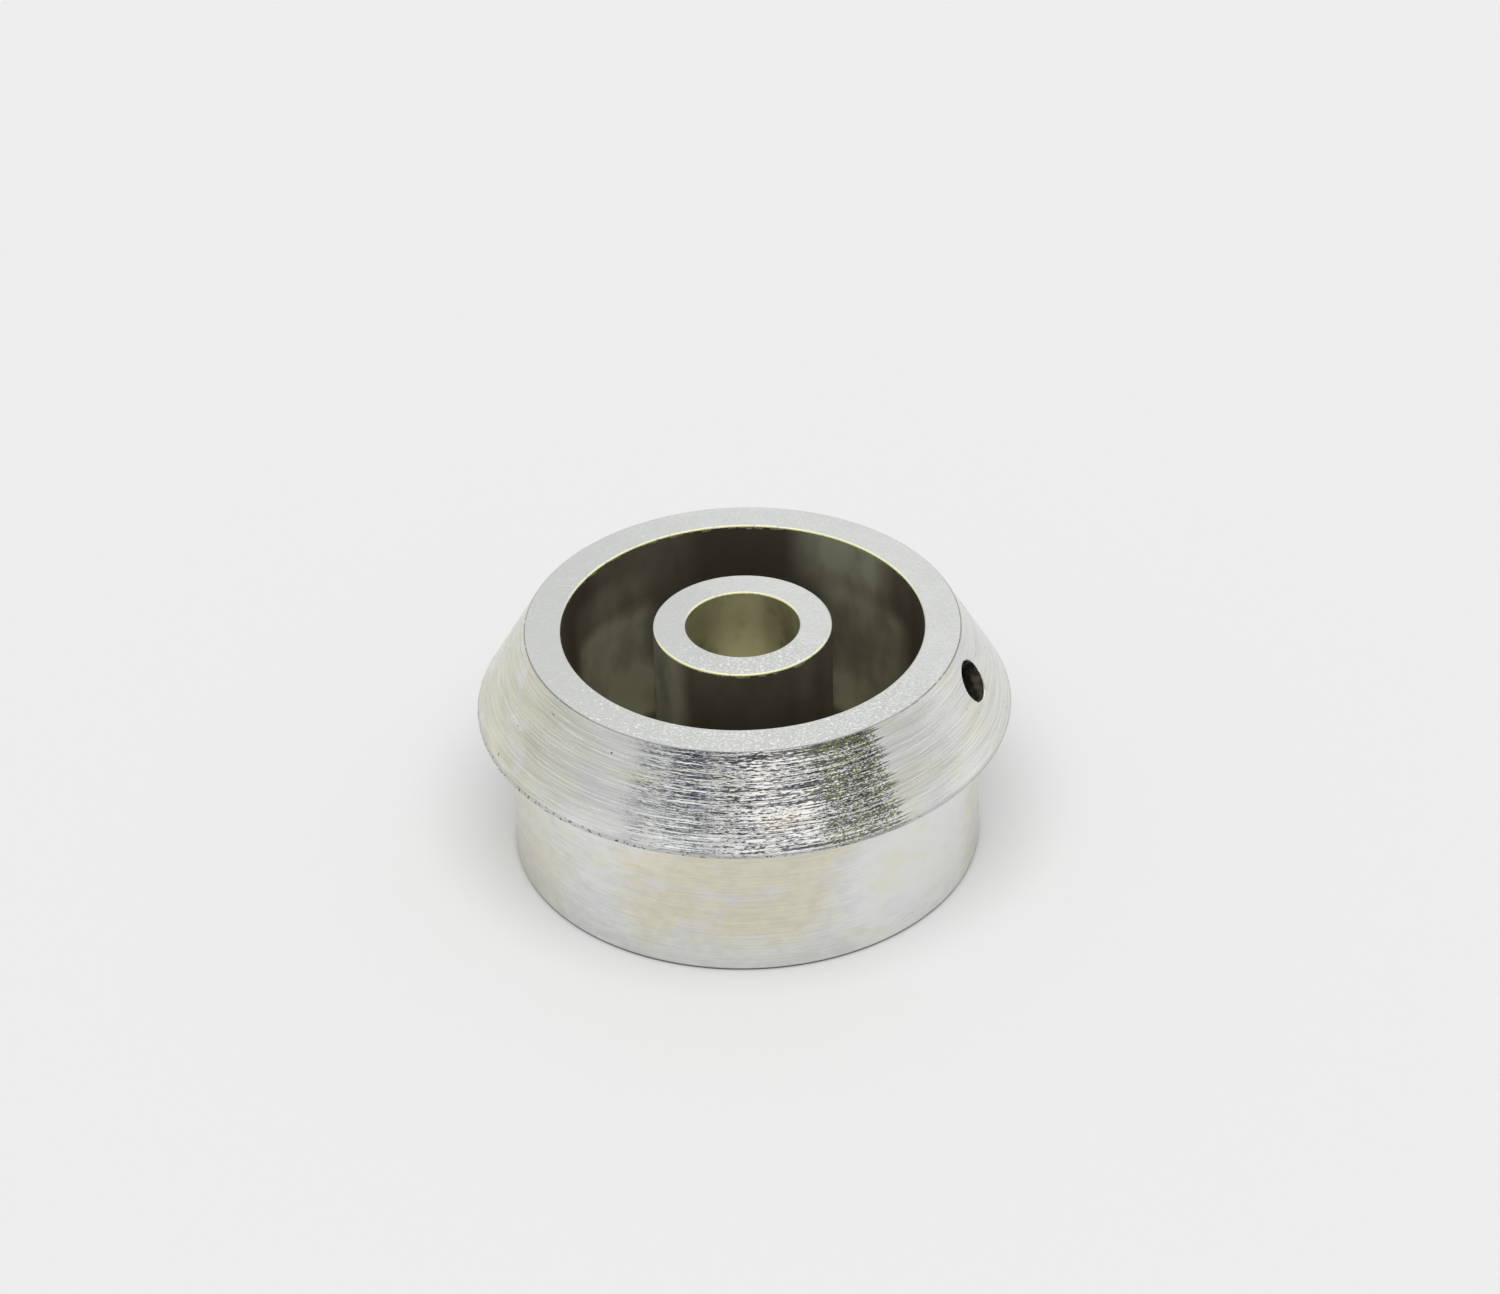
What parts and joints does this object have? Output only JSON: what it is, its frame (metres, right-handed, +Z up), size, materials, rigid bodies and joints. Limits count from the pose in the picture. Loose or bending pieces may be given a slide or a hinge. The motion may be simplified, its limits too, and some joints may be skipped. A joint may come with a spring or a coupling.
{
  "type": "turned cone hub",
  "caption": "Round turned hub: a cone face over a square shoulder and a plain spigot, a deep face groove round a bored boss, and a small hole drilled square to the cone.",
  "frame": {"origin": "on the axis of turning, in the plane of the spigot's base, which the part stands on", "axes": "+Z up along the axis of turning, from the spigot towards the rim; +X through the cross hole"},
  "size_m": [0.06, 0.06, 0.028],
  "materials": {
    "zinc_plated_steel": "turned steel with a thin, pale zinc plating; satin, with fine turning marks"
  },
  "bodies": {
    "root": {"turned_hub": "zinc_plated_steel"}
  },
  "joints": []
}
